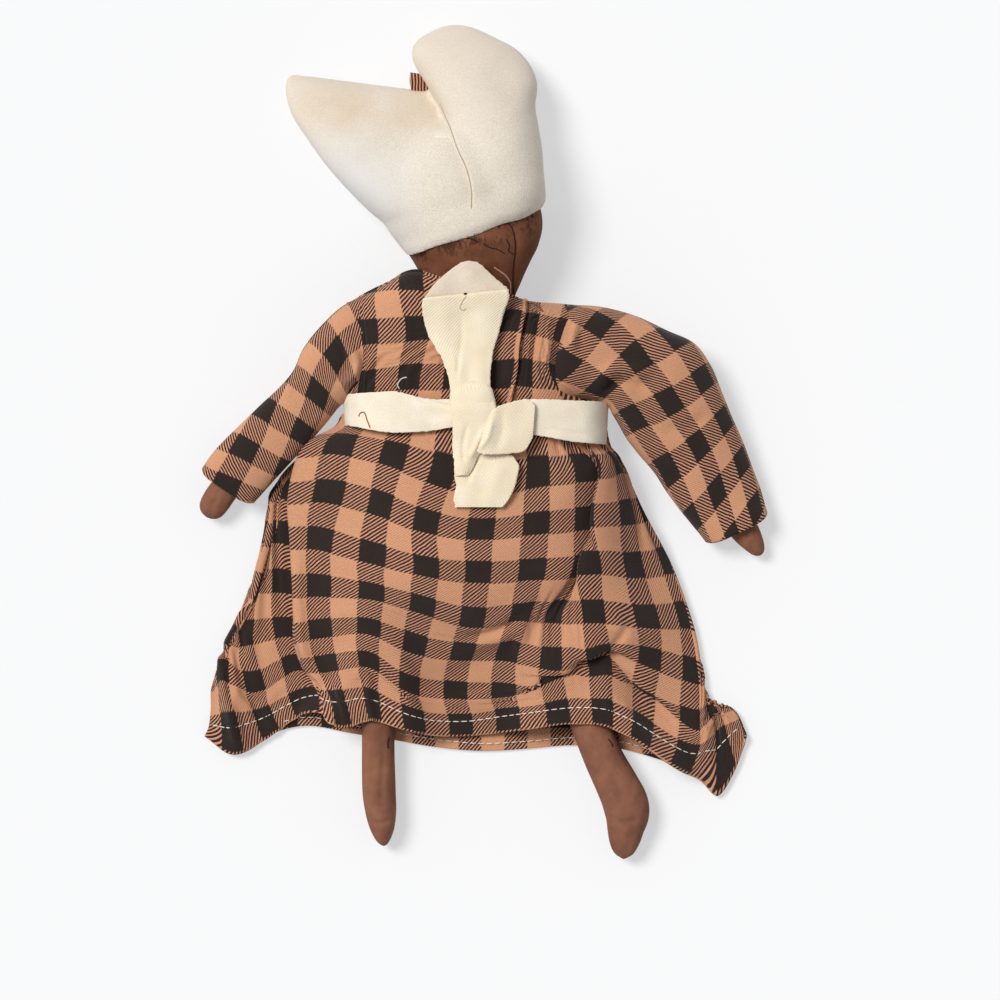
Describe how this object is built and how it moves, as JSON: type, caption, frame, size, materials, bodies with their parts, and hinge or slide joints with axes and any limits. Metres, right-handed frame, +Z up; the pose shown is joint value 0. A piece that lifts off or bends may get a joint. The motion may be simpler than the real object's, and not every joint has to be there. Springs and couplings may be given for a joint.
{
  "type": "rag doll",
  "caption": "Stuffed cloth rag doll lying face down, in a checked dress with a tied apron and a two-lobed felt headwrap; the head and limp limbs swing at sewn joints.",
  "frame": {"origin": "on the surface the doll lies on, under the middle of its waist, on the underside of the apron's waistband", "axes": "+Z up from that surface, +Y from the waist to the head, +X to the doll's own right, which is the right of a view from above"},
  "size_m": [0.2472, 0.3737, 0.0547],
  "materials": {
    "muslin": "painted muslin, matte, worn",
    "stuffing": "loose fibre",
    "flannel": "brushed twill with dark and peach checks",
    "cotton": "twill, raw edged",
    "felt": "napped"
  },
  "bodies": {
    "torso": {"torso_cover": "muslin", "torso_stuffing": "stuffing", "bodice_back": "flannel", "bodice_front": "flannel", "skirt_back": "flannel", "skirt_front": "flannel", "apron_panel": "cotton", "apron_waistband": "cotton", "tie_left": "cotton", "tie_right": "cotton", "tie_knot": "cotton", "tie_loop": "cotton", "tie_side_tail": "cotton", "tie_down_tail": "cotton"},
    "head": {"head_cover": "muslin", "head_stuffing": "stuffing", "headwrap_left": "felt", "headwrap_right": "felt", "headwrap_tab": "flannel"},
    "left_arm": {"left_arm_cover": "muslin", "left_arm_stuffing": "stuffing", "left_sleeve": "flannel"},
    "right_arm": {"right_arm_cover": "muslin", "right_arm_stuffing": "stuffing", "right_sleeve": "flannel"},
    "left_leg": {"left_leg_cover": "muslin", "left_leg_stuffing": "stuffing"},
    "right_leg": {"right_leg_cover": "muslin", "right_leg_stuffing": "stuffing"}
  },
  "joints": [
    {"name": "neck_tilt", "type": "hinge", "parent": "torso", "child": "head", "pos_m": [0.005, 0.07035, 0.0219], "axis": [0, 0, 1], "range_deg": [-30, 8]},
    {"name": "left_shoulder_raise", "type": "hinge", "parent": "torso", "child": "left_arm", "pos_m": [-0.04435, 0.03563, 0.0219], "axis": [0, 0, -1], "range_deg": [0, 60]},
    {"name": "right_shoulder_raise", "type": "hinge", "parent": "torso", "child": "right_arm", "pos_m": [0.04519, 0.03106, 0.0219], "axis": [0, 0, 1], "range_deg": [0, 55]},
    {"name": "left_hip_spread", "type": "hinge", "parent": "torso", "child": "left_leg", "pos_m": [-0.04102, -0.0721, 0.0219], "axis": [0, 0, -1], "range_deg": [-10, 15]},
    {"name": "right_hip_spread", "type": "hinge", "parent": "torso", "child": "right_leg", "pos_m": [0.02729, -0.07746, 0.0219], "axis": [0, 0, 1], "range_deg": [-18, 8]}
  ]
}
